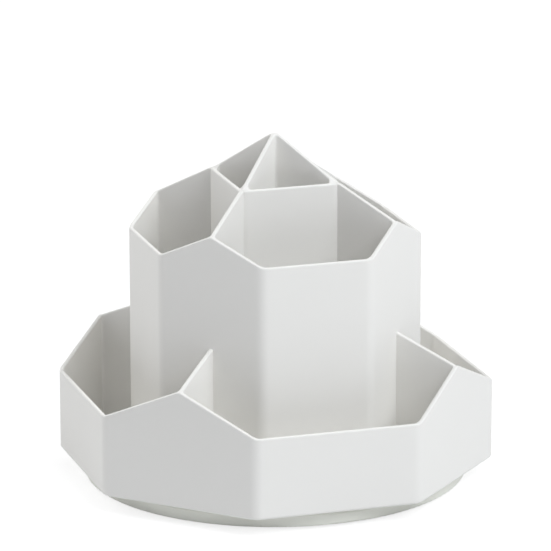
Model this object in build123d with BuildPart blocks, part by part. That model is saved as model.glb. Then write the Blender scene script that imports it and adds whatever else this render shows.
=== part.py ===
"""Rotating desk organizer: three nested mouldings that turn on a round ball-bearing base.

Millimetres, +Z up. The origin is on the desk, on the turning axis. The low faces of the tray
look along +X, -X, +Y and -Y, and its peaked faces lie on the diagonals between them.
"""

from build123d import *

import math
import os

os.makedirs("parts", exist_ok=True)

# ------------------------------------------------------------------ driving dimensions

# Outer tray. Rim heights are measured from its bottom edge, like all rim heights below.
tray_flats = 166.0
tray_low_rim = 33.5
tray_peak = 48.5
tray_floor = 2.4
tray_corner = 7.0
tray_edge_round = 1.2

# The tray's dividers climb from its peaks to this height at the tower's wall
tray_divider_top = 59.0

# Middle tower, on the same plan
tower_flats = 111.4
tower_low_rim = 95.0
tower_peak = 105.3
tower_floor = 2.2
tower_corner = 7.0

# Core cup, a square whose corners meet the tower's dividers
core_side = 43.0
core_rim = 118.0
core_floor = 2.2
core_corner = 2.5
core_apex = 136.4

# Walls and dividers of all three
wall = 2.2
divider = 2.2
rim_round = 0.9
slope_foot_round = 5.0
peak_round = 3.0
apex_round = 5.0
divider_tuck = 0.3
tier_fit = 0.05

# Base disc
base_diameter = 157.0
base_height = 5.3
base_skirt = 2.4
base_plate = 2.0
base_edge_round = 1.0
spin_gap = 1.2
rib = 1.6
rib_drop = 2.2
outer_ribs = 12
inner_ribs = 8

# Soft pads under the base disc
feet = 6
foot_diameter = 13.0
foot_thickness = 2.0
foot_proud = 1.0
foot_pocket = 0.5
foot_pocket_wall = 1.2
foot_fit = 0.05
foot_skirt_gap = 0.8

# Ball bearing
ball_diameter = 4.5
balls = 12
ball_fit = 0.05
race_width = 9.0
race_thickness = 1.0
race_groove = 0.4
race_seat = 0.4
race_fit = 0.05
well_web = 1.1
well_wall = 1.8
well_margin = 1.0
cage_thickness = 1.8
cage_width = 8.6
cage_pocket_fit = 0.2

# Pivot screw, washer, bush and insert
shoulder_diameter = 6.0
shoulder_fit = 0.05
pivot_thread = 4.0
pivot_thread_fit = 0.05
pivot_head_diameter = 10.0
pivot_head = 1.8
pivot_socket = 3.0
pivot_socket_depth = 1.1
washer_diameter = 14.0
washer_thickness = 0.8
washer_fit = 0.15
washer_float = 0.2
bush_wall = 1.2
bush_fit = 0.02
bush_flange_overhang = 2.2
bush_flange = 0.9
hub_collar_diameter = 22.0
hub_collar_wall = 2.0
hub_collar_drop = 2.4
insert_diameter = 6.0
insert_length = 8.0
insert_fit = 0.02
insert_boss_wall = 2.5
insert_cover = 2.0

# Countersunk screws that hold the tower and the core on the tray
screw_diameter = 3.0
screw_head = 5.6
screw_length = 14.0
screw_cone_angle = 90.0
screw_fit = 0.1
screw_slot = 0.8
screw_slot_depth = 0.9
screw_boss_wall = 1.7
screw_boss_bite = 0.5
screw_tip_room = 0.6
screw_cover = 2.0

# ------------------------------------------------------------------ sizes that follow

sides = 8
quadrants = 4
diagonal = 45.0
half_side_angle = math.pi / sides

tray_apothem = tray_flats / 2
tower_apothem = tower_flats / 2
core_half = core_side / 2
core_reach = core_half * math.sqrt(2) - core_corner * (math.sqrt(2) - 1)

base_radius = base_diameter / 2
base_bottom = foot_proud
base_top = base_bottom + base_height
plate_bottom = base_top - base_plate
skirt_inside = base_radius - base_skirt

tray_bottom = base_top + spin_gap
tray_floor_top = tray_bottom + tray_floor
tower_floor_top = tray_floor_top + tower_floor
core_floor_top = tower_floor_top + core_floor

screw_radius = screw_diameter / 2
screw_hole = screw_radius + screw_fit
screw_boss = screw_hole + screw_boss_wall
screw_tip = tray_bottom + screw_length
screw_hole_top = screw_tip + screw_tip_room
screw_boss_top = screw_hole_top + screw_cover
screw_cone = (screw_head - screw_diameter) / 2 / math.tan(math.radians(screw_cone_angle / 2))
tower_screw_circle = tower_apothem - wall - screw_boss + screw_boss_bite
core_screw_circle = (core_half - wall - screw_boss + screw_boss_bite) * math.sqrt(2)

race_radius = (tower_screw_circle + core_screw_circle) / 2
ball_radius = ball_diameter / 2
groove_radius = ball_radius + ball_fit
race_half = race_width / 2
upper_race_top = tray_bottom + race_seat
upper_race_bottom = upper_race_top - race_thickness
ball_centre = upper_race_bottom + race_groove - groove_radius
lower_race_top = ball_centre - groove_radius + race_groove
lower_race_bottom = lower_race_top - race_thickness
well_bottom = lower_race_bottom - well_web
well_floor_top = lower_race_bottom + race_seat
well_half = race_half + well_margin
well_outside = race_radius + well_half + well_wall
well_inside = race_radius - well_half - well_wall

foot_boss_radius = foot_diameter / 2 + foot_fit + foot_pocket_wall
foot_circle = skirt_inside - foot_boss_radius - foot_skirt_gap
foot_boss_bottom = foot_thickness - foot_pocket

bush_bore = shoulder_diameter / 2 + shoulder_fit
bush_radius = bush_bore + bush_wall
washer_top = plate_bottom - washer_float
washer_bottom = washer_top - washer_thickness
pivot_head_bottom = washer_bottom - pivot_head
insert_top = tower_floor_top + insert_length
insert_bore = pivot_thread / 2 + pivot_thread_fit
insert_boss_radius = insert_diameter / 2 + insert_boss_wall

# ------------------------------------------------------------------ shapes that repeat


def octagon(apothem, corner):
    """Add an octagon with rounded corners and flats across both axes to the open sketch."""
    turn = math.degrees(half_side_angle)
    RegularPolygon(apothem, sides, major_radius=False, rotation=turn)
    fillet(vertices(), radius=corner)


def rounded_square(half, corner):
    """Add a square with rounded corners to the open sketch."""
    RectangleRounded(2 * half, 2 * half, corner)


def slope_of(apothem, low, peak):
    """Fall of a peaked face's rim for each millimetre away from its middle."""
    return (peak - low) / (apothem * math.tan(half_side_angle))


def divider_foot(apothem, low, peak):
    """Height where a divider's top runs into the wall, just under the peak's rounded tip."""
    return peak - peak_round * (math.hypot(1, slope_of(apothem, low, peak)) - 1) - divider_tuck


def rim_cutter(apothem, low, peak):
    """All that lies above the rim in the quadrant whose peaked face looks along +X."""
    half_face = apothem * math.tan(half_side_angle)
    half_span = apothem * math.sin(math.radians(diagonal))
    sky = 2 * peak
    with BuildPart() as cutter:
        with BuildSketch(Plane.YZ.offset(half_span - wall)):
            with BuildLine():
                Polyline(
                    (-half_span, sky),
                    (-half_span, low),
                    (-half_face, low),
                    (0, peak),
                    (half_face, low),
                    (half_span, low),
                    (half_span, sky),
                    close=True,
                )
            make_face()
            fillet(vertices().sort_by(lambda v: abs(v.X))[0], radius=peak_round)
            feet_of_slopes = vertices().filter_by_position(Axis.Y, low, low).sort_by(lambda v: abs(v.X))
            fillet(feet_of_slopes[:2], radius=slope_foot_round)
        extrude(amount=apothem)
    return cutter.part


def rim_edges(part, above):
    """Long edges of a rim: those on just one of the faces that look up above a height."""
    tops = part.faces().filter_by(lambda f: f.center().Z > above and f.normal_at(f.center()).Z > 0.5)
    borders = [edge for face in tops for edge in face.edges()]
    return [edge for edge in borders if sum(edge.is_same(other) for other in borders) == 1]


def stepped_wall(apothem, corner, bottom, floor, low, peak):
    """Add an octagonal cup to the open part: a floor and a wall that is low and peaked by turns."""
    with BuildSketch(Plane.XY.offset(bottom)) as outside:
        octagon(apothem, corner)
    extrude(outside.sketch, amount=peak - bottom)
    with BuildSketch(Plane.XY.offset(bottom + floor)) as inside:
        octagon(apothem - wall, corner - wall)
    extrude(inside.sketch, amount=peak, mode=Mode.SUBTRACT)
    with PolarLocations(0, quadrants, start_angle=diagonal):
        add(rim_cutter(apothem, low, peak), mode=Mode.SUBTRACT)


def divider_plate(outline, tip_round=0):
    """Upright plate in the XZ plane through an outline, with its sloping top edges rounded."""
    with BuildPart() as plate:
        with BuildSketch(Plane.XZ):
            with BuildLine():
                Polyline(*outline, close=True)
            make_face()
            if tip_round:
                fillet(vertices().sort_by(Axis.Y)[-1], radius=tip_round)
        extrude(amount=divider / 2, both=True)
        fillet(rim_edges(plate, outline[0][1]), radius=rim_round)
    return plate.part


def countersunk_screw():
    """One screw on the Z axis, its head's face on the tray's underside and its tip up."""
    with BuildPart() as screw:
        with BuildSketch(Plane.XZ):
            with BuildLine():
                Polyline(
                    (0, tray_bottom),
                    (screw_head / 2, tray_bottom),
                    (screw_radius, tray_bottom + screw_cone),
                    (screw_radius, screw_tip - screw_radius),
                    (0, screw_tip),
                    close=True,
                )
            make_face()
        revolve(axis=Axis.Z)
        with BuildSketch(Plane.XY.offset(tray_bottom)):
            Rectangle(screw_diameter, screw_slot)
            Rectangle(screw_slot, screw_diameter)
        extrude(amount=screw_slot_depth, mode=Mode.SUBTRACT)
    return screw.part


def screw_pillars(circle, bottom):
    """Add the blind bosses that the countersunk screws bite in, and their holes, to the open part."""
    with BuildSketch(Plane.XY.offset(bottom)) as pillars:
        with PolarLocations(circle, quadrants, start_angle=diagonal):
            Circle(screw_boss)
    extrude(pillars.sketch, amount=screw_boss_top - bottom)


def screw_holes(circle, bottom, top):
    """Cut the screws' holes through the open part between two heights."""
    with BuildSketch(Plane.XY.offset(bottom)) as holes:
        with PolarLocations(circle, quadrants, start_angle=diagonal):
            Circle(screw_hole)
    extrude(holes.sketch, amount=top - bottom, mode=Mode.SUBTRACT)


def round_hole(radius, bottom, top):
    """Cut a hole on the turning axis through the open part between two heights."""
    with BuildSketch(Plane.XY.offset(bottom)) as hole:
        Circle(radius)
    extrude(hole.sketch, amount=top - bottom, mode=Mode.SUBTRACT)


# ------------------------------------------------------------------ outer tray

tray_low_z = tray_bottom + tray_low_rim
tray_peak_z = tray_bottom + tray_peak
tray_divider = divider_plate(
    [
        (tower_apothem + tier_fit, tray_floor_top - tray_floor / 2),
        (tray_apothem - wall / 2, tray_floor_top - tray_floor / 2),
        (tray_apothem - wall / 2, divider_foot(tray_apothem, tray_low_z, tray_peak_z)),
        (tower_apothem + tier_fit, tray_bottom + tray_divider_top),
    ]
)

with BuildPart() as outer_tray:
    stepped_wall(tray_apothem, tray_corner, tray_bottom, tray_floor, tray_low_z, tray_peak_z)
    fillet(rim_edges(outer_tray, tray_floor_top), radius=rim_round)
    fillet(outer_tray.faces().sort_by(Axis.Z)[0].outer_wire().edges(), radius=tray_edge_round)
    with PolarLocations(0, quadrants, start_angle=diagonal):
        add(tray_divider)
    with BuildSketch(Plane.XY.offset(tray_bottom)):
        Circle(race_radius + race_half + race_fit)
        Circle(race_radius - race_half - race_fit, mode=Mode.SUBTRACT)
    extrude(amount=race_seat, mode=Mode.SUBTRACT)
    with Locations(Plane(origin=(0, 0, tray_bottom), z_dir=(0, 0, -1))):
        for circle in (tower_screw_circle, core_screw_circle):
            with PolarLocations(circle, quadrants, start_angle=diagonal):
                CounterSinkHole(
                    screw_hole,
                    screw_head / 2 + screw_fit,
                    depth=tray_floor,
                    counter_sink_angle=screw_cone_angle,
                )
    round_hole(insert_bore, tray_bottom, tray_floor_top)
outer_tray.part.label = "outer_tray"
export_step(outer_tray.part, "parts/outer_tray.step")

# ------------------------------------------------------------------ middle tower

tower_low_z = tray_bottom + tower_low_rim
tower_peak_z = tray_bottom + tower_peak
core_rim_z = tray_bottom + core_rim
tower_divider_foot = divider_foot(tower_apothem, tower_low_z, tower_peak_z)
tower_divider_slope = (core_rim_z - tower_divider_foot) / (tower_apothem - wall / 2 - core_reach)
tower_divider = divider_plate(
    [
        (core_reach - core_corner, tray_floor_top + tower_floor / 2),
        (tower_apothem - wall / 2, tray_floor_top + tower_floor / 2),
        (tower_apothem - wall / 2, tower_divider_foot),
        (core_reach - core_corner, core_rim_z + tower_divider_slope * core_corner),
    ]
)

with BuildPart() as middle_tower:
    stepped_wall(tower_apothem, tower_corner, tray_floor_top, tower_floor, tower_low_z, tower_peak_z)
    fillet(rim_edges(middle_tower, tower_floor_top), radius=rim_round)
    with PolarLocations(0, quadrants, start_angle=diagonal):
        add(tower_divider)
    with BuildSketch(Plane.XY.offset(tower_floor_top)):
        rounded_square(core_half + tier_fit, core_corner + tier_fit)
    extrude(amount=core_rim_z, mode=Mode.SUBTRACT)
    screw_pillars(tower_screw_circle, tray_floor_top + tower_floor / 2)
    screw_holes(tower_screw_circle, tray_floor_top, screw_hole_top)
    screw_holes(core_screw_circle, tray_floor_top, tower_floor_top)
    round_hole(insert_bore, tray_floor_top, tower_floor_top)
middle_tower.part.label = "middle_tower"
export_step(middle_tower.part, "parts/middle_tower.step")

# ------------------------------------------------------------------ core cup

core_divider = divider_plate(
    [
        (core_reach - wall / 2, tower_floor_top + core_floor / 2),
        (core_reach - wall / 2, core_rim_z),
        (0, tray_bottom + core_apex),
        (wall / 2 - core_reach, core_rim_z),
        (wall / 2 - core_reach, tower_floor_top + core_floor / 2),
    ],
    tip_round=apex_round,
)

with BuildPart() as core_cup:
    with BuildSketch(Plane.XY.offset(tower_floor_top)):
        rounded_square(core_half, core_corner)
    extrude(amount=core_rim_z - tower_floor_top)
    with BuildSketch(Plane.XY.offset(core_floor_top)):
        rounded_square(core_half - wall, core_corner / 2)
    extrude(amount=core_rim_z, mode=Mode.SUBTRACT)
    fillet(rim_edges(core_cup, core_floor_top), radius=rim_round)
    with PolarLocations(0, quadrants // 2, start_angle=diagonal, angular_range=2 * diagonal, endpoint=True):
        add(core_divider)
    with BuildSketch(Plane.XY.offset(core_floor_top - core_floor / 2)):
        Circle(insert_boss_radius)
    extrude(amount=insert_top + insert_cover - core_floor_top + core_floor / 2)
    screw_pillars(core_screw_circle, core_floor_top - core_floor / 2)
    screw_holes(core_screw_circle, tower_floor_top, screw_hole_top)
    round_hole(insert_diameter / 2 + insert_fit, tower_floor_top, insert_top)
core_cup.part.label = "core_cup"
export_step(core_cup.part, "parts/core_cup.step")

# ------------------------------------------------------------------ screws

with BuildPart() as tower_screws:
    with PolarLocations(tower_screw_circle, quadrants, start_angle=diagonal):
        add(countersunk_screw())
tower_screws.part.label = "tower_screws"
export_step(tower_screws.part, "parts/tower_screws.step")

with BuildPart() as core_screws:
    with PolarLocations(core_screw_circle, quadrants, start_angle=diagonal):
        add(countersunk_screw())
core_screws.part.label = "core_screws"
export_step(core_screws.part, "parts/core_screws.step")

# ------------------------------------------------------------------ ball bearing

ball_path = Pos(0, 0, ball_centre) * Torus(race_radius, groove_radius)

with BuildPart() as upper_race:
    with BuildSketch(Plane.XY.offset(upper_race_bottom)):
        Circle(race_radius + race_half)
        Circle(race_radius - race_half, mode=Mode.SUBTRACT)
    extrude(amount=race_thickness)
    add(ball_path, mode=Mode.SUBTRACT)
upper_race.part.label = "upper_race"
export_step(upper_race.part, "parts/upper_race.step")

with BuildPart() as lower_race:
    with BuildSketch(Plane.XY.offset(lower_race_bottom)):
        Circle(race_radius + race_half)
        Circle(race_radius - race_half, mode=Mode.SUBTRACT)
    extrude(amount=race_thickness)
    add(ball_path, mode=Mode.SUBTRACT)
lower_race.part.label = "lower_race"
export_step(lower_race.part, "parts/lower_race.step")

with BuildPart() as bearing_balls:
    with Locations(Plane.XY.offset(ball_centre)):
        with PolarLocations(race_radius, balls):
            Sphere(ball_radius)
bearing_balls.part.label = "bearing_balls"
export_step(bearing_balls.part, "parts/bearing_balls.step")

with BuildPart() as ball_cage:
    with BuildSketch(Plane.XY.offset(ball_centre - cage_thickness / 2)):
        Circle(race_radius + cage_width / 2)
        Circle(race_radius - cage_width / 2, mode=Mode.SUBTRACT)
        with PolarLocations(race_radius, balls):
            Circle(ball_radius + cage_pocket_fit, mode=Mode.SUBTRACT)
    extrude(amount=cage_thickness)
ball_cage.part.label = "ball_cage"
export_step(ball_cage.part, "parts/ball_cage.step")

# ------------------------------------------------------------------ base disc


def ring_section(inner, outer, bottom, top, mode=Mode.ADD):
    """Add a ring's rectangular section, from one radius and height to another, to the open sketch."""
    with Locations(((inner + outer) / 2, (bottom + top) / 2)):
        Rectangle(outer - inner, top - bottom, mode=mode)


with BuildPart() as base_disc:
    with BuildSketch(Plane.XZ):
        ring_section(0, base_radius, plate_bottom, base_top)
        ring_section(skirt_inside, base_radius, base_bottom, base_top)
        ring_section(well_inside, well_outside, well_bottom, base_top)
        ring_section(
            hub_collar_diameter / 2 - hub_collar_wall,
            hub_collar_diameter / 2,
            plate_bottom - hub_collar_drop,
            plate_bottom,
        )
        ring_section(
            race_radius - well_half, race_radius + well_half, well_floor_top, base_top, Mode.SUBTRACT
        )
        ring_section(
            race_radius - race_half - race_fit,
            race_radius + race_half + race_fit,
            lower_race_bottom,
            well_floor_top,
            Mode.SUBTRACT,
        )
        ring_section(0, bush_radius + bush_fit, plate_bottom, base_top, Mode.SUBTRACT)
    revolve(axis=Axis.Z)
    rim_circles = base_disc.edges().filter_by(GeomType.CIRCLE)
    fillet(rim_circles.filter_by(lambda e: abs(e.radius - base_radius) < base_edge_round), base_edge_round)
    with BuildSketch(Plane.XY.offset(plate_bottom)):
        with PolarLocations((skirt_inside + well_outside) / 2, outer_ribs, start_angle=180 / outer_ribs):
            Rectangle(skirt_inside - well_outside + well_wall, rib)
        with PolarLocations((well_inside + hub_collar_diameter / 2) / 2, inner_ribs):
            Rectangle(well_inside - hub_collar_diameter / 2 + well_wall, rib)
    extrude(amount=-rib_drop)
    with BuildSketch(Plane.XY.offset(foot_boss_bottom)):
        with PolarLocations(foot_circle, feet):
            Circle(foot_boss_radius)
    extrude(amount=plate_bottom - foot_boss_bottom)
    with BuildSketch(Plane.XY.offset(foot_boss_bottom)):
        with PolarLocations(foot_circle, feet):
            Circle(foot_diameter / 2 + foot_fit)
    extrude(amount=foot_pocket, mode=Mode.SUBTRACT)
base_disc.part.label = "base_disc"
export_step(base_disc.part, "parts/base_disc.step")

for number in range(feet):
    angle = math.radians(number * 360 / feet)
    pad_centre = (foot_circle * math.cos(angle), foot_circle * math.sin(angle))
    with BuildPart() as foot_pad:
        with BuildSketch(Plane.XY):
            with Locations(pad_centre):
                Circle(foot_diameter / 2)
        extrude(amount=foot_thickness)
    foot_pad.part.label = f"foot_pad_{number + 1}"
    export_step(foot_pad.part, f"parts/foot_pad_{number + 1}.step")

# ------------------------------------------------------------------ pivot

with BuildPart() as pivot_bush:
    with BuildSketch(Plane.XY.offset(plate_bottom)):
        Circle(bush_radius)
    extrude(amount=base_plate)
    with BuildSketch(Plane.XY.offset(base_top)):
        Circle(bush_radius + bush_flange_overhang)
    extrude(amount=bush_flange)
    round_hole(bush_bore, plate_bottom, base_top + bush_flange)
pivot_bush.part.label = "pivot_bush"
export_step(pivot_bush.part, "parts/pivot_bush.step")

with BuildPart() as pivot_washer:
    with BuildSketch(Plane.XY.offset(washer_bottom)):
        Circle(washer_diameter / 2)
        Circle(shoulder_diameter / 2 + washer_fit, mode=Mode.SUBTRACT)
    extrude(amount=washer_thickness)
pivot_washer.part.label = "pivot_washer"
export_step(pivot_washer.part, "parts/pivot_washer.step")

with BuildPart() as pivot_screw:
    with BuildSketch(Plane.XY.offset(pivot_head_bottom)):
        Circle(pivot_head_diameter / 2)
    extrude(amount=pivot_head)
    with BuildSketch(Plane.XY.offset(washer_bottom)):
        Circle(shoulder_diameter / 2)
    extrude(amount=tray_bottom - washer_bottom)
    with BuildSketch(Plane.XY.offset(tray_bottom)):
        Circle(pivot_thread / 2)
    extrude(amount=insert_top - tray_bottom)
    with BuildSketch(Plane.XY.offset(pivot_head_bottom)):
        RegularPolygon(pivot_socket / 2, 6, major_radius=False)
    extrude(amount=pivot_socket_depth, mode=Mode.SUBTRACT)
pivot_screw.part.label = "pivot_screw"
export_step(pivot_screw.part, "parts/pivot_screw.step")

with BuildPart() as pivot_insert:
    with BuildSketch(Plane.XY.offset(tower_floor_top)):
        Circle(insert_diameter / 2)
        Circle(insert_bore, mode=Mode.SUBTRACT)
    extrude(amount=insert_length)
pivot_insert.part.label = "pivot_insert"
export_step(pivot_insert.part, "parts/pivot_insert.step")
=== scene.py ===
import math

import bpy
import numpy as np
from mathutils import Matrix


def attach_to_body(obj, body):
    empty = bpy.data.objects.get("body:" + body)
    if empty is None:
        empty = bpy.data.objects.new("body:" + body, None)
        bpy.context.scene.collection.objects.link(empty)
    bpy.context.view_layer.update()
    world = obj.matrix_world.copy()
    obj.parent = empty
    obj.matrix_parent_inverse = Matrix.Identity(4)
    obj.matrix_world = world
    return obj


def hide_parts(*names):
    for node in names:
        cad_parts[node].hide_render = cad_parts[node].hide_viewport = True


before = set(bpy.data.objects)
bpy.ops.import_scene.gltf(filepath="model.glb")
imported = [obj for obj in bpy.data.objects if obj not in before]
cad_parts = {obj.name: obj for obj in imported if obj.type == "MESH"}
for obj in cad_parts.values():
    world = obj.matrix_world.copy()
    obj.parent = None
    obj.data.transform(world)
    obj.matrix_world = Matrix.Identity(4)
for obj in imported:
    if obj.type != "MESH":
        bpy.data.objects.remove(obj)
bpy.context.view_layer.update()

# ---------------------------------------------------------------- base disc
# The round foot under it all: one white moulding of the same satin plastic as the cups, with a
# skirt, ribs below, a well for the bearing and a collar round the pivot. Its colour is a little
# greener than the cups' and paler, the paler tone painted light that lifts the shade under the
# tray. It is a plain turned form, so the solid stays and gets the skin of its mould.

# Sizes are given in millimetres, and the scene is in metres
MM = 0.001


class Wire:
    """A socket of a material's nodes. + and * between wires and numbers add one Math node each,
    and node adds any other node."""

    def __init__(self, tree, socket=None):
        self.tree, self.socket = tree, socket

    def node(self, kind, settings, sockets, output=0):
        """Add a node: its settings first, a ramp's stops among them, then the value or the wire
        of each socket. Gives the wire of one of its outputs."""
        made = self.tree.nodes.new("ShaderNode" + kind)
        for name, value in settings.items():
            if name == "stops":
                for stop, (place, level) in zip(made.color_ramp.elements, value):
                    stop.position, stop.color = place, (level, level, level, 1)
            else:
                setattr(made, name, value)
        for name, value in sockets.items():
            if isinstance(value, Wire):
                self.tree.links.new(value.socket, made.inputs[name])
            else:
                made.inputs[name].default_value = value
        return Wire(self.tree, made.outputs[output])

    def maths(self, operation, first, second):
        """One Math node."""
        return self.node("Math", {"operation": operation}, {0: first, 1: second})

    def __add__(self, other):
        return self.maths("ADD", self, other)

    def __radd__(self, other):
        return self.maths("ADD", other, self)

    def __mul__(self, other):
        return self.maths("MULTIPLY", self, other)

    def __rmul__(self, other):
        return self.maths("MULTIPLY", other, self)

    def places(self):
        """Where each point lies on the object, in metres."""
        return self.node("TexCoord", {}, {}, "Object")

    def grain(self, size, detail=2.0, rough=0.5):
        """Noise from 0 to 1 whose lumps are about size millimetres across."""
        lumps = {"Scale": 1 / (size * MM), "Detail": detail, "Roughness": rough}
        return self.node("TexNoise", {}, {"Vector": self.places(), **lumps})

    def rings(self, width):
        """Noise from 0 to 1 that changes only with the distance from the turning axis, with
        lines about width millimetres wide: the square root of x squared plus y squared."""
        flat = self.node("VectorMath", {"operation": "MULTIPLY"}, {0: self.places(), 1: (1, 1, 0)})
        radius = self.node("VectorMath", {"operation": "LENGTH"}, {0: flat}, "Value")
        lines = {"Scale": 1 / (width * MM), "Detail": 2.0}
        return self.node("TexNoise", {"noise_dimensions": "1D"}, {"W": radius, **lines})

    def tint(self, share, plain, other):
        """Colour that goes from plain to other as share goes from 0 to 1."""
        colours = {6: (*plain, 1), 7: (*other, 1)}
        return self.node("Mix", {"data_type": "RGBA"}, {0: share, **colours}, 2)

    def relief(self, height, depth, strength):
        """Normal of a skin whose height goes from 0 to 1 over depth millimetres."""
        skin = {"Distance": depth * MM, "Strength": strength}
        return self.node("Bump", {}, {"Height": height, **skin})


def finish(name, **constants):
    """A material with one shader: gives it, a wire for its nodes, and the shader. The constants
    are set on the shader's own sockets, with _ for a space in their names."""
    material = bpy.data.materials.new(name)
    material.use_nodes = True
    shader = material.node_tree.nodes["Principled BSDF"]
    for socket, value in constants.items():
        shader.inputs[socket.replace("_", " ")].default_value = value
    return material, Wire(material.node_tree), shader


def attach(wires, shader, **links):
    """Lead wires into the shader's sockets, with _ for a space in their names."""
    for socket, wire in links.items():
        wires.tree.links.new(wire.socket, shader.inputs[socket.replace("_", " ")])


def moulded_plastic(name, colour, shade, gloss, skin):
    """Injection-moulded plastic: a fine etched skin of that many millimetres, a slow drift of
    colour towards shade where the melt ran, gloss that varies with handling, and the faintest
    waviness, which breaks up reflections on flat walls."""
    material, wires, shader = finish(name, IOR=1.46)
    drift = wires.grain(38, 3.0)
    speck = wires.grain(1.1, 2.0)
    touch = wires.grain(9, 4.0, 0.6)
    etched = wires.grain(skin, 1.0)
    waves = wires.grain(24, 1.0)
    share = drift * 0.7 + speck * 0.3
    attach(
        wires,
        shader,
        Base_Color=wires.tint(share, colour, shade),
        Roughness=gloss - 0.05 + touch * 0.08 + speck * 0.03,
        Normal=wires.relief(etched * 0.012 + waves * 0.4, 0.25, 0.35),
    )
    return material


def dress(material, *nodes):
    """Put a material on solids that stay as they are."""
    for node in nodes:
        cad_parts[node].material_slots[0].material = material


# Paler than the cups' plastic: painted light that lifts the shade under the tray's overhang
base_plastic_lightened = moulded_plastic("satin_base_lightened", (0.92, 0.925, 0.85), (0.90, 0.905, 0.825), 0.5, 0.3)
dress(base_plastic_lightened, "base_disc")

# ---------------------------------------------------------------- foot pads
# Six round pads of dark soft rubber, die-cut from sheet and pressed into the pockets under the
# base disc, so that it neither slides nor scratches. Their faces pick up a little dust.


def die_cut_rubber():
    """Matt rubber: dust in patches a few millimetres wide over a fine open grain."""
    material, wires, shader = finish("pad_rubber", Specular_IOR_Level=0.35)
    patches = wires.grain(3.0, 5.0, 0.65)
    dust = wires.node("ValToRGB", {"stops": [(0.45, 0.0), (0.8, 1.0)]}, {0: patches})
    pores = wires.grain(0.35, 2.0)
    attach(
        wires,
        shader,
        Base_Color=wires.tint(dust, (0.028, 0.028, 0.029), (0.075, 0.072, 0.068)),
        Roughness=0.78 + dust * 0.12,
        Normal=wires.relief(pores, 0.05, 0.6),
    )
    return material


dress(die_cut_rubber(), *[f"foot_pad_{number}" for number in range(1, 7)])

# ---------------------------------------------------------------- ball bearing
# Two races pressed from steel sheet, the lower one set in the base's well and the upper one in
# the tray's underside, with twelve steel balls between them in a flat nylon cage.


def turned_metal(name, colour, shade, gloss, line, scratches):
    """Metal with fine rings about the turning axis and short scratches across them."""
    material, wires, shader = finish(name, Metallic=1.0)
    rings = wires.rings(line)
    stain = wires.grain(7, 4.0, 0.6)
    scratch = wires.grain(0.5, 3.0, 0.7)
    attach(
        wires,
        shader,
        Base_Color=wires.tint(stain, colour, shade),
        Roughness=gloss + rings * 0.1 + stain * 0.06,
        Normal=wires.relief(rings + scratch * scratches, 0.02, 0.5),
    )
    return material


def polished_steel():
    """Bright steel with a breath of oil and the finest of rolling marks."""
    material, wires, shader = finish("ball_steel", Metallic=1.0)
    oil = wires.grain(1.6, 3.0)
    attach(
        wires,
        shader,
        Base_Color=wires.tint(oil, (0.60, 0.60, 0.61), (0.53, 0.53, 0.55)),
        Roughness=0.06 + oil * 0.08,
        Normal=wires.relief(wires.grain(0.2), 0.002, 0.4),
    )
    return material


pressed_steel = turned_metal(
    "pressed_steel", (0.48, 0.48, 0.49), (0.40, 0.40, 0.42), 0.26, 0.3, 0.5
)
dress(pressed_steel, "lower_race", "upper_race")
dress(polished_steel(), "bearing_balls")
dress(moulded_plastic("nylon", (0.66, 0.63, 0.53), (0.60, 0.56, 0.45), 0.5, 0.4), "ball_cage")

# ---------------------------------------------------------------- pivot
# A shoulder screw that comes up through an acetal bush in the base disc and bites in a brass
# insert in the core cup. A steel washer over its head keeps the base disc on when it is lifted.


def plated_steel(name):
    """Zinc plate over steel: cloudy patches, bluish and pale by turns, and a dull sheen."""
    material, wires, shader = finish(name, Metallic=1.0)
    cloud = wires.grain(2.2, 4.0, 0.6)
    drawn = wires.grain(0.3, 3.0, 0.7)
    attach(
        wires,
        shader,
        Base_Color=wires.tint(cloud, (0.50, 0.51, 0.55), (0.58, 0.57, 0.53)),
        Roughness=0.28 + cloud * 0.14,
        Normal=wires.relief(drawn, 0.015, 0.5),
    )
    return material


zinc = plated_steel("zinc")
dress(zinc, "pivot_screw")
dress(pressed_steel, "pivot_washer")
dress(moulded_plastic("acetal", (0.78, 0.78, 0.74), (0.75, 0.75, 0.70), 0.34, 0.5), "pivot_bush")
dress(turned_metal("brass", (0.62, 0.41, 0.14), (0.48, 0.29, 0.10), 0.24, 0.2, 0.3), "pivot_insert")

# ---------------------------------------------------------------- outer tray
# The ring of eight walls that carries all the rest: one white moulding with the satin skin of
# its mould, low on four sides and peaked on the four between them, with a divider behind each
# peak that climbs to the tower. Its floor is screwed to the tower and the core from below.

# An apothem is a face's distance from the axis, a corner its rounding seen from above, and
# bottoms, floors, lows and peaks are heights above the desk
tray_apothem, tray_corner = 83.0, 7.0
tray_bottom, tray_floor_top = 7.5, 9.9
tray_low, tray_peak = 41.0, 56.0
tray_divider_top = 66.5
tray_edge_round, floor_round, junction_round = 1.2, 0.9, 1.0
wall, rim_round, peak_round, slope_foot_round = 1.8, 0.7, 3.0, 5.0
tower_apothem, tower_corner = 55.7, 7.0
half = wall / 2

# Half of an octagon face's length, as a share of the apothem
face_share = math.tan(math.pi / 8)

# Spacing of the meshes' points along a wall, distance of the rows and columns that hold a bend
# from it, and points on each half of a corner's arc
spacing, support_gap, arc_points = 1.5, 0.3, 5

cup_plastic = moulded_plastic(
    "satin_white", (0.905, 0.895, 0.865), (0.89, 0.878, 0.845), 0.58, 0.3
)


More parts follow.
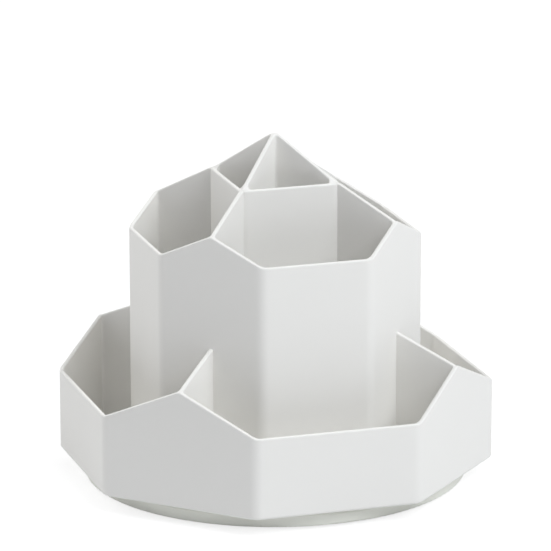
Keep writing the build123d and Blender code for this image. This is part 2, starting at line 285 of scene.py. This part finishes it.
def gable(q, apothem, low, peak):
    """Rim height at distance q from the middle of a peaked face: low outside, and
    peak - slope * q inside, with an arc of peak_round over the tip and an arc of
    slope_foot_round in the hollow where the slope leaves the low rim."""
    foot = apothem * face_share
    slope = (peak - low) / foot
    tilt = math.atan(slope)
    crest = peak - peak_round * (1 / math.cos(tilt) - 1)
    tip = crest - peak_round + np.sqrt(np.maximum(peak_round**2 - q**2, 0))
    reach = slope_foot_round * math.tan(tilt / 2)
    inwards = np.minimum(foot + reach - q, slope_foot_round)
    hollow = low + slope_foot_round - np.sqrt(np.maximum(slope_foot_round**2 - inwards**2, 0))
    height = np.where(q > foot, low, peak - slope * q)
    height = np.where(q < peak_round * math.sin(tilt), tip, height)
    in_hollow = (abs(q - foot) < reach) & (q > foot - reach * math.cos(tilt))
    return np.where(in_hollow, hollow, height)


def crest_of(apothem, low, peak):
    """Height of the rounded tip: the gable's value in the middle of the face."""
    return float(gable(np.zeros(1), apothem, low, peak)[0])


def blend(heights, distances):
    """Height between rims that meet: each rim's own height weighted by one over the square of
    the distance to its middle line, so that it holds on the line and flows between lines."""
    tiny = 1e-6
    weights = [1 / (np.square(d) + tiny) for d in distances]
    return sum(h * w for h, w in zip(heights, weights)) / sum(weights)


def diagonal_frame(points):
    """Along and across the nearest diagonal: (|x| + |y|) / sqrt 2 and ||x| - |y|| / sqrt 2."""
    x, y = abs(points[..., 0]), abs(points[..., 1])
    return (x + y) / math.sqrt(2), abs(x - y) / math.sqrt(2)


def from_wall_line(points, apothem):
    """Distance from the octagon line with that apothem: the largest of |x|, |y| and the distance
    along the diagonal, less the apothem."""
    along, _ = diagonal_frame(points)
    furthest = np.maximum(np.maximum(abs(points[..., 0]), abs(points[..., 1])), along)
    return abs(furthest - apothem)


def pocket_path(corners, radii, lands, rounded=()):
    """Outline of a pocket, walked with the pocket on the left: straight runs between the
    corners and an arc of its radius at each. With every point come the normal that points into
    the wall and the land, how far the wall's middle line lies along it. That is the run's own
    land, and on an arc (radius + land) / cos(angle from the nearer run's normal) - radius, or
    the plain land where the middle line is rounded too. Also gives where that line turns."""
    corners = np.array(corners, float)
    runs = np.diff(corners, axis=0)
    lengths = np.linalg.norm(runs, axis=1)
    tangents = runs / lengths[:, None]
    normals = np.stack([tangents[:, 1], -tangents[:, 0]], 1)
    turns = np.arccos(np.clip((tangents[:-1] * tangents[1:]).sum(1), -1, 1))
    cuts = np.concatenate([[0], radii * np.tan(turns / 2), [0]])
    points, outward, reach, marks, count = [], [], [], [], 0
    for i, tangent in enumerate(tangents):
        a, b = cuts[i], lengths[i] - cuts[i + 1]
        rest = np.linspace(a + support_gap, b - support_gap, max(int((b - a) / spacing), 2))
        along = np.concatenate([[a], rest, [b]])
        points.append(corners[i] + along[:, None] * tangent)
        outward.append(np.repeat(normals[i][None], len(along), 0))
        reach.append(np.full(len(along), lands[i]))
        count += len(along)
        if i == len(radii):
            break
        r, near, far = radii[i], normals[i], normals[i + 1]
        centre = corners[i] + b * tangent - r * near
        start = math.atan2(near[1], near[0])
        offset = np.linalg.solve(np.array([near, far]), [r + lands[i], r + lands[i + 1]])
        middle = start + (math.atan2(offset[1], offset[0]) - start) % (2 * math.pi)
        to_middle = np.linspace(start, middle, arc_points + 1)[1:]
        onwards = np.linspace(middle, start + turns[i], arc_points + 1)[1:-1]
        angles = np.concatenate([to_middle, onwards])
        n = np.stack([np.cos(angles), np.sin(angles)], 1)
        if i in rounded:
            land = np.full(len(n), lands[i])
        else:
            grazing = 1e-3
            by_near = (r + lands[i]) / np.maximum(n @ near, grazing)
            by_far = (r + lands[i + 1]) / np.maximum(n @ far, grazing)
            land = np.minimum(by_near, by_far) - r
        points.append(centre + r * n)
        outward.append(n)
        reach.append(land)
        marks.append(count + arc_points - 1)
        count += len(n)
    return np.concatenate(points), np.concatenate(outward), np.concatenate(reach), marks


def quarter_circle(rows):
    """Angles of a quarter circle in that many rows, each for all points of a sheet's outline."""
    return np.linspace(0, math.pi / 2, rows)[:, None, None]


def wall_rows(rise, shares):
    """Rows up a wall as shares of its rise: one at support_gap from each end and, between them,
    the given ones."""
    support = support_gap / rise
    return np.stack([support, *[share + 0 * rise for share in shares], 1 - support])


def pocket_sheet(path, hub, floor, height):
    """Skin of a pocket as a grid: out from the hub over the floor, up a quarter circle of
    floor_round, up the wall, over a quarter circle of rim_round and flat to the middle line of
    the wall. height gives the rim's height at any point of the plan."""
    points, normals, land, _ = path
    outwards = np.array([0, 0.3, 0.6, 0.85, 0.97])[:, None, None]
    toe = points - normals * floor_round
    flat = hub + (toe - hub) * outwards
    bend = quarter_circle(7)
    heel = points - normals * floor_round * (1 - np.sin(bend))
    most_of_land = 0.98 * land
    soft = np.minimum(rim_round, most_of_land)
    top = height(points) - soft
    foot = floor + floor_round
    climb = wall_rows(top - foot, (0.15, 0.4, 0.65, 0.88))
    roll = quarter_circle(8)
    over = points + normals * soft[:, None] * (1 - np.cos(roll))
    across_top = np.array([0.34, 0.67, 1])[:, None]
    crown = points + normals * (soft + (land - soft) * across_top)[..., None]
    plan = np.concatenate([flat, heel, np.repeat(points[None], len(climb), 0), over, crown])
    level = np.concatenate([
        np.full(flat.shape[:2], floor),
        floor + floor_round * (1 - np.cos(bend[..., 0])) + 0 * top,
        foot + (top - foot) * climb,
        height(over) - soft * (1 - np.sin(roll[..., 0])),
        height(crown),
    ])
    return np.concatenate([plan, level[..., None]], 2)


def outer_normal(points, apothem, corner, sides):
    """Outward direction of a rounded polygon's side at points on its wall: the direction from
    the nearest corner's arc centre, held between the two faces that meet there."""
    half_turn = math.pi / sides
    heading = np.arctan2(points[:, 1], points[:, 0])
    vertex = np.floor(heading / (2 * half_turn)) * 2 * half_turn + half_turn
    from_axis = (apothem - corner) / math.cos(half_turn)
    centre = from_axis * np.stack([np.cos(vertex), np.sin(vertex)], 1)
    out = points - centre
    swing = (np.arctan2(out[:, 1], out[:, 0]) - vertex + math.pi) % (2 * math.pi) - math.pi
    bearing = vertex + np.clip(swing, -half_turn, half_turn)
    normal = np.stack([np.cos(bearing), np.sin(bearing)], 1)
    on_face = points + normal * (apothem - (points * normal).sum(1))[:, None]
    edge = np.where((abs(swing) < half_turn)[:, None], centre + corner * normal, on_face)
    return edge, normal


def outside_sheet(middle, apothem, corner, sides, bottom, edge_round, height):
    """Skin outside a moulding as a grid, from the underside's middle out, up a quarter circle
    of edge_round, up the wall, over a quarter circle of rim_round and back to the middle line,
    whose points are the pockets' own, so that the two sheets share their edge."""
    line, crest = middle[:, :2], middle[:, 2]
    edge, normals = outer_normal(line, apothem, corner, sides)
    bend = quarter_circle(8)
    outwards = np.array([0, 0.5, 0.9, 0.995])[:, None, None]
    under = (edge - normals * edge_round) * outwards
    heel = edge - normals * edge_round * (1 - np.sin(bend))
    top = height(edge) - rim_round
    foot = bottom + edge_round
    climb = wall_rows(top - foot, (0.12, 0.35, 0.6, 0.88))
    roll = quarter_circle(8)
    over = edge - normals * rim_round * (1 - np.cos(roll))
    plan = np.concatenate([under, heel, np.repeat(edge[None], len(climb), 0), over, line[None]])
    level = np.concatenate([
        np.full(under.shape[:2], bottom),
        bottom + edge_round * (1 - np.cos(bend[..., 0])) + 0 * top,
        foot + (top - foot) * climb,
        height(over) - rim_round * (1 - np.sin(roll[..., 0])),
        crest[None],
    ])
    return np.concatenate([plan, level[..., None]], 2)


def quarter_turns(grid):
    """The grid and its copies turned by 90, 180 and 270 degrees: x, y become -y, x each time."""
    turned = [grid]
    for _ in range(3):
        last = turned[-1]
        turned.append(np.stack([-last[..., 1], last[..., 0], last[..., 2]], -1))
    return turned


def sheet_faces(rows, columns, closed, first):
    """Quads between neighbouring rows and columns of a grid whose points start at first."""
    r, c = np.meshgrid(np.arange(rows - 1), np.arange(columns - (not closed)), indexing="ij")
    right = (c + 1) % columns
    here, above = r * columns, (r + 1) * columns
    quads = np.stack([here + c, here + right, above + right, above + c], -1)
    return quads.reshape(-1, 4) + first


def moulding(name, sheets, body, *nodes):
    """One piece from grids, each given as (grid, whether its columns close, whether it is
    turned inside out). Points that coincide are merged, quads with merged points become
    triangles, and edges sharper than crisp stay so."""
    merging_digits, crisp = 4, math.radians(40)
    points, faces, first = [], [], 0
    for grid, closed, flipped in sheets:
        quads = sheet_faces(grid.shape[0], grid.shape[1], closed, first)
        faces.append(quads[:, ::-1] if flipped else quads)
        points.append(grid.reshape(-1, 3))
        first += grid.shape[0] * grid.shape[1]
    points = np.concatenate(points)
    rounded = np.round(points, merging_digits)
    _, index, inverse = np.unique(rounded, axis=0, return_index=True, return_inverse=True)
    faces = inverse.reshape(-1)[np.concatenate(faces)]
    same = faces == np.roll(faces, -1, 1)
    quads = faces[~same.any(1)]
    pinched = faces[same.sum(1) == 1]
    keep = ~same[same.sum(1) == 1]
    triangles = pinched[keep].reshape(-1, 3)
    mesh = bpy.data.meshes.new(name)
    mesh.from_pydata(points[index] * MM, [], quads.tolist() + triangles.tolist())
    mesh.validate()
    mesh.materials.append(cup_plastic)
    mesh.shade_smooth()
    mesh.set_sharp_from_angle(angle=crisp)
    piece = bpy.data.objects.new(name, mesh)
    bpy.context.scene.collection.objects.link(piece)
    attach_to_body(piece, body)
    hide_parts(*nodes)


def inside_sheets(pockets):
    """The pockets of a moulding, the strips between each one's last column and the next one's
    first, and the small square between the four hubs, ready for moulding."""
    following = pockets[1:] + pockets[:1]
    strips = [np.stack([here[:, -1], there[:, 0]], 1) for here, there in zip(pockets, following)]
    hubs = [pocket[0, 0] for pocket in pockets]
    cap = np.array([[hubs[0], hubs[1]], [hubs[3], hubs[2]]])
    return [(sheet, False, True) for sheet in pockets + strips + [cap]]


def middle_line(path, pockets):
    """The ring of points that an octagonal moulding's pockets end on: from each, its last row
    between the places where the dividers' middle lines turn into the wall's."""
    first, last = path[3][0], path[3][3]
    return np.concatenate([pocket[-1, first:last] for pocket in pockets])


def on_diagonal(along, across):
    """Plan point at a distance along the diagonal between +X and -Y, and across it towards -Y."""
    return ((along - across) / math.sqrt(2), (-along - across) / math.sqrt(2))


def sector_path(apothem, corner, inner):
    """Outline of the pocket towards -Y between two dividers: from one divider's end, which is
    sunk in the next moulding at that distance from the axis, round the walls to the other's."""
    face = apothem - wall
    right = [on_diagonal(inner, half), on_diagonal(face, half), (face * face_share, -face)]
    left = [(-x, y) for x, y in right]
    radii = np.array([junction_round, corner - wall, corner - wall, junction_round])
    return pocket_path(left + right[::-1], radii, [half] * 5, rounded=(1, 2))


tray_crest = crest_of(tray_apothem, tray_low, tray_peak)


def tray_height(points):
    """Rim of the tray: the gable on the walls, and a straight climb along each divider from
    the crest to the tower."""
    along, across = diagonal_frame(points)
    climb = (tray_divider_top - tray_crest) / (tray_apothem - half - tower_apothem)
    divider = tray_crest + climb * (tray_apothem - half - along)
    rim = gable(across, tray_apothem, tray_low, tray_peak)
    return blend([rim, divider], [from_wall_line(points, tray_apothem - half), across])


def tray_rim(points):
    """Rim of the tray's outer half: the gable alone."""
    return gable(diagonal_frame(points)[1], tray_apothem, tray_low, tray_peak)


tray_hub = np.array([0.0, -48.0])
tray_path = sector_path(tray_apothem, tray_corner, tower_apothem - half)
tray_pockets = quarter_turns(pocket_sheet(tray_path, tray_hub, tray_floor_top, tray_height))
tray_outside = outside_sheet(
    middle_line(tray_path, tray_pockets),
    tray_apothem,
    tray_corner,
    8,
    tray_bottom,
    tray_edge_round,
    tray_rim,
)
moulding(
    "tray_shell",
    inside_sheets(tray_pockets) + [(tray_outside, True, False)],
    "organizer",
    "outer_tray",
)

# ---------------------------------------------------------------- middle tower
# The tall eight-sided cup that stands in the tray, moulded in the same white plastic with the
# same peaks. Four dividers run from its peaks up to the corners of the core cup.

tower_bottom, tower_floor_top = 9.9, 12.1
tower_low, tower_peak = 102.5, 112.8
core_half, core_corner, core_rim = 21.5, 2.5, 125.5
core_reach = core_half * math.sqrt(2) - core_corner * (math.sqrt(2) - 1)
tower_crest = crest_of(tower_apothem, tower_low, tower_peak)

# How deep the dividers' ends sit in the core cup's corners, and how far they stand over its rim
# there, so that the two tops don't share a plane
divider_sunk, hair = 1.4, 0.03

# Rounding of the lower edge that is hidden where one moulding stands in the next, then the
# pillars that the screws bite in, whose feet reach a little into the floor
hidden_round = 0.3
boss_radius, boss_round, boss_top, boss_sunk, boss_points = 3.3, 0.6, 24.1, 1.0, 40
tower_screw_circle = 50.7


def boss(x, y, radius, foot, top, soft):
    """Round pillar: a profile out over its foot, up its side and in over an arc of radius soft,
    carried round."""
    roll = np.linspace(0, math.pi / 2, 6)
    shoulder = top - soft
    reach = np.concatenate([[0, radius, radius], radius - soft * (1 - np.cos(roll)), [0]])
    sides = [foot, foot, shoulder - support_gap]
    level = np.concatenate([sides, shoulder + soft * np.sin(roll), [top]])
    turn = np.linspace(0, 2 * math.pi, boss_points, endpoint=False)
    reach, level = reach[:, None], level[:, None]
    return np.stack([x + reach * np.cos(turn), y + reach * np.sin(turn), level + 0 * turn], -1)


def screw_bosses(circle, floor_top):
    """A moulding's four pillars, on its diagonals at that distance from the axis."""
    first = boss(*on_diagonal(circle, 0), boss_radius, floor_top - boss_sunk, boss_top, boss_round)
    return [(pillar, True, False) for pillar in quarter_turns(first)]


def tower_height(points):
    """Rim of the tower: the gable on the walls, a straight climb along each divider from the
    crest to the core's corner, and the core's rim, a hair over it, where the two touch."""
    along, across = diagonal_frame(points)
    climb = (core_rim - tower_crest) / (tower_apothem - half - core_reach)
    divider = np.minimum(tower_crest + climb * (tower_apothem - half - along), core_rim + hair)
    rim = gable(across, tower_apothem, tower_low, tower_peak)
    beside_core = abs(np.maximum(abs(points[..., 0]), abs(points[..., 1])) - core_half + half)
    return blend(
        [rim, divider, core_rim + hair + 0 * rim],
        [from_wall_line(points, tower_apothem - half), across, beside_core],
    )


def tower_rim(points):
    """Rim of the tower's outer half: the gable alone."""
    return gable(diagonal_frame(points)[1], tower_apothem, tower_low, tower_peak)


tower_hub = np.array([0.0, -15.0])
tower_path = sector_path(tower_apothem, tower_corner, core_reach - divider_sunk)
tower_pockets = quarter_turns(pocket_sheet(tower_path, tower_hub, tower_floor_top, tower_height))
tower_outside = outside_sheet(
    middle_line(tower_path, tower_pockets),
    tower_apothem,
    tower_corner,
    8,
    tower_bottom,
    hidden_round,
    tower_rim,
)
moulding(
    "tower_shell",
    inside_sheets(tower_pockets)
    + screw_bosses(tower_screw_circle, tower_floor_top)
    + [(tower_outside, True, False)],
    "organizer",
    "middle_tower",
)

# ---------------------------------------------------------------- core cup
# The square cup in the middle, moulded in one piece. Its two crossed dividers rise from its
# corners to the highest point of the whole organizer, and screws from below hold its floor.

core_bottom, core_floor_top = 12.1, 14.3
core_apex, apex_round = 143.88, 5.0
core_screw_circle = 23.33
insert_boss_radius, insert_boss_top, insert_boss_round = 5.5, 22.1, 0.8


def core_ridge(along):
    """Top of the crossed dividers at a distance from the axis: straight lines from the corners
    to the apex, with an arc of apex_round over it."""
    slope = (core_apex - core_rim) / (core_reach - half)
    tilt = math.atan(slope)
    tip = core_apex - apex_round / math.cos(tilt) + np.sqrt(np.maximum(apex_round**2 - along**2, 0))
    side = np.maximum(core_apex - slope * along, core_rim)
    return np.where(along < apex_round * math.sin(tilt), tip, side)


def core_height(points):
    """Rim of the core: level on the walls, the ridge along each divider."""
    x, y = points[..., 0], points[..., 1]
    first, second = abs(x - y) / math.sqrt(2), abs(x + y) / math.sqrt(2)
    beside_wall = abs(core_half - half - np.maximum(abs(x), abs(y)))
    heights = [core_rim + 0 * x, core_ridge(second), core_ridge(first)]
    return blend(heights, [beside_wall, first, second])


def core_level(points):
    """Rim of the core's outer half: level."""
    return core_rim + 0 * points[..., 0]


core_hub = np.array([0.0, -12.5])
core_face = core_half - wall
middle_of_face = (0, -core_face)
core_right = core_face - half * math.sqrt(2)
core_path = pocket_path(
    [
        middle_of_face,
        (core_right, -core_face),
        (0, -half * math.sqrt(2)),
        (-core_right, -core_face),
        middle_of_face,
    ],
    np.array([junction_round] * 3),
    [half] * 4,
)
core_pockets = quarter_turns(pocket_sheet(core_path, core_hub, core_floor_top, core_height))
first_turn, last_turn = core_path[3][0], core_path[3][2]
core_tops = [pocket[-1] for pocket in core_pockets]
core_ring = [np.concatenate([top[last_turn:-1], top[:first_turn]]) for top in core_tops]
core_outside = outside_sheet(
    np.concatenate(core_ring),
    core_half,
    core_corner,
    4,
    core_bottom,
    hidden_round,
    core_level,
)
insert_boss = boss(
    0, 0, insert_boss_radius, core_floor_top - boss_sunk, insert_boss_top, insert_boss_round
)
moulding(
    "core_shell",
    [(pocket, False, True) for pocket in core_pockets]
    + screw_bosses(core_screw_circle, core_floor_top)
    + [(insert_boss, True, False), (core_outside, True, False)],
    "organizer",
    "core_cup",
)

# ---------------------------------------------------------------- screws
# Eight countersunk steel screws, zinc plated, driven up through the tray's floor: four bite in
# bosses inside the tower and four in bosses inside the core cup, and clamp the three together.

dress(zinc, "tower_screws", "core_screws")

# ---------------------------------------------------------------- stage, light and camera
# A pale floor that the camera sees as white paper with the object's faint shadow, in a soft
# white room. A large soft lamp stands at the right and front, one above and a weaker one at the
# left and behind, and the camera, with its long lens, where the photograph's stood.

floor_mesh = bpy.data.meshes.new("desk")
floor_reach, floor_level = 4.0, -0.02 * MM
floor_corners = [
    (x * floor_reach, y * floor_reach, floor_level)
    for x, y in ((-1, -1), (1, -1), (1, 1), (-1, 1))
]
floor_mesh.from_pydata(floor_corners, [], [(0, 1, 2, 3)])
floor = bpy.data.objects.new("desk", floor_mesh)
bpy.context.scene.collection.objects.link(floor)


def seen(wires):
    """1 for a ray that comes from the camera, or off metal or through glass, and 0 for others."""
    kinds = ("Camera", "Glossy", "Transmission")
    camera_ray, glossy_ray, transmission_ray = [
        wires.node("LightPath", {}, {}, f"Is {kind} Ray") for kind in kinds
    ]
    either = wires.maths("MAXIMUM", camera_ray, glossy_ray)
    return wires.maths("MAXIMUM", either, transmission_ray)


paper, paper_wires, paper_shader = finish(
    "white_paper", Specular_IOR_Level=0.0, Emission_Strength=1.0
)
fibre = paper_wires.grain(30, 3.0)
looked_at = seen(paper_wires)
attach(
    paper_wires,
    paper_shader,
    Base_Color=paper_wires.tint(looked_at, (0.84, 0.845, 0.855), (0.36, 0.36, 0.36)),
    Roughness=0.85 + fibre * 0.1,
    Emission_Color=paper_wires.tint(looked_at, (0, 0, 0), (0.78, 0.78, 0.78)),
)
floor_mesh.materials.append(paper)

world = bpy.data.worlds.new("room")
bpy.context.scene.world = world
world.use_nodes = True
room = Wire(world.node_tree)
background = world.node_tree.nodes["Background"]
room_colour = room.tint(seen(room), (0.25, 0.253, 0.262), (1, 1, 1))
world.node_tree.links.new(room_colour.socket, background.inputs["Color"])

# How far every lamp stands from the point that it looks at, and how high that point lies
lamp_distance, lamp_aim = 2.0, 70 * MM


def soft_lamp(name, bearing, height, width, power, colour):
    """A square lamp that looks at the object: bearing in degrees from +X about +Z, height in
    degrees above the desk, width in metres and power in watts."""
    light = bpy.data.lights.new(name, "AREA")
    light.size, light.energy, light.color = width, power, colour
    lamp = bpy.data.objects.new(name, light)
    bpy.context.scene.collection.objects.link(lamp)
    across, up = math.radians(bearing), math.radians(height)
    flat, rise = lamp_distance * math.cos(up), lamp_distance * math.sin(up)
    lamp.location = (flat * math.cos(across), flat * math.sin(across), rise + lamp_aim)
    lamp.rotation_euler = (math.pi / 2 - up, 0, across + math.pi / 2)


soft_lamp("right_lamp", -56, 46, 1.3, 26.5, (0.945, 0.972, 1.0))
soft_lamp("top_lamp", 90, 88, 1.5, 7, (0.99, 0.995, 1.0))
soft_lamp("left_lamp", 140, 35, 1.2, 13, (1.0, 1.0, 0.985))

# The lens and the picture's width in pixels and the sensor's width in millimetres, then how far
# and how high the camera stands, on which bearing, and how it is aimed, tipped and rolled
lens_px, picture_px, sensor_width = 4427.6, 551, 36
distance, rise = 1743.5 * MM, 570.1 * MM
bearing, aim = math.radians(-17.637), math.radians(-0.040)
pitch, roll = math.radians(15.608), math.radians(0.111)
camera = bpy.data.objects.new("camera", bpy.data.cameras.new("camera"))
bpy.context.scene.collection.objects.link(camera)
bpy.context.scene.camera = camera
camera.data.sensor_width = sensor_width
camera.data.lens = lens_px / picture_px * sensor_width
camera.data.clip_start, camera.data.clip_end = 0.05, 20
camera.location = (distance * math.sin(bearing), -distance * math.cos(bearing), rise)
camera.rotation_euler = (math.pi / 2 - pitch, roll, bearing + aim)

bpy.context.scene.view_settings.view_transform = "Standard"
